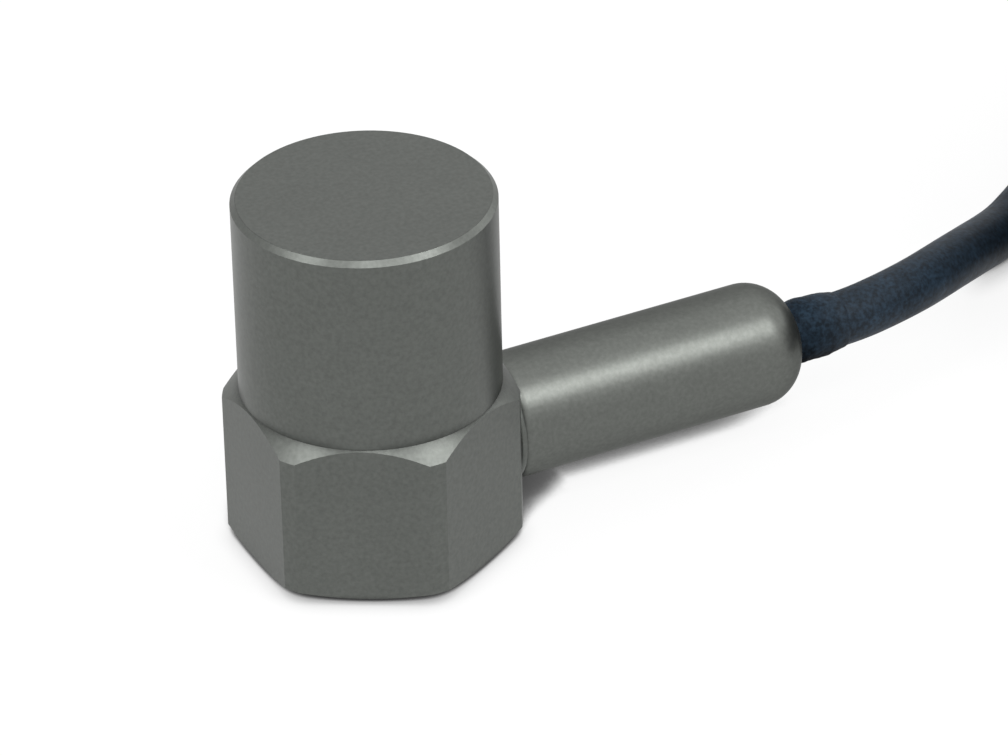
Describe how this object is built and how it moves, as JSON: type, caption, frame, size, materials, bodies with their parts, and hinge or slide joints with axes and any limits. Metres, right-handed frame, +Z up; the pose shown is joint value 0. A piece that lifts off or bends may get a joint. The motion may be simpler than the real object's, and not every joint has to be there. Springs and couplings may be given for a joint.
{
  "type": "vibration sensor",
  "caption": "Side-exit vibration sensor: round steel barrel on a hexagonal foot with a base thread, a round-nosed side tube and a fixed cable, used to measure machine vibration.",
  "frame": {"origin": "middle of the flat base face, where the sensor meets the machine", "axes": "+Z up along the sensing axis, +X out along the side tube, the base faces -Z"},
  "size_m": [0.1563, 0.0774, 0.033],
  "materials": {
    "stainless": "matt bead-blasted stainless steel",
    "ceramic": "white alumina",
    "piezo": "fired piezo ceramic",
    "contact": "rolled contact foil",
    "heavy_metal": "ground heavy alloy",
    "insulating_sleeve": "translucent white",
    "spring_steel": "bright spring steel",
    "tinned_sheet": "tinned sheet",
    "spacer": "natural nylon",
    "board": "green solder mask",
    "chip": "black moulding compound",
    "chip_ceramic": "tan ceramic",
    "copper_wire": "bare copper",
    "core_red": "red insulation",
    "core_white": "white insulation",
    "core_black": "black sleeving",
    "potting": "dark potting compound",
    "ferrule": "turned brass",
    "seal": "black rubber",
    "jacket": "matt blue-black jacket",
    "tie": "black nylon",
    "tinned_wire": "tinned strands"
  },
  "bodies": {
    "root": {"sensor_body": "stainless", "top_cap": "stainless", "cable_tube": "stainless", "base_insulator": "ceramic", "top_insulator": "ceramic", "lower_piezo": "piezo", "upper_piezo": "piezo", "ground_electrode": "contact", "signal_electrode": "contact", "upper_electrode": "contact", "seismic_mass": "heavy_metal", "post_sleeve": "insulating_sleeve", "spring_washer": "spring_steel", "preload_nut": "spring_steel", "shield_can": "tinned_sheet", "board_spacers": "spacer", "circuit_board": "board", "amplifier_chip": "chip", "chip_resistors": "chip", "chip_capacitors": "chip_ceramic", "signal_wire": "copper_wire", "ground_wire": "copper_wire", "positive_core": "core_red", "positive_lead": "core_red", "return_core": "core_white", "return_lead": "core_white", "screen_lead": "core_black", "potting_plug": "potting", "cable_ferrule": "ferrule", "tube_seal": "seal", "cable_tail": "jacket", "cable_boot": "jacket", "cable": "jacket", "cable_coil": "jacket", "coil_tie": "tie", "lead_tips": "tinned_wire"}
  },
  "joints": []
}
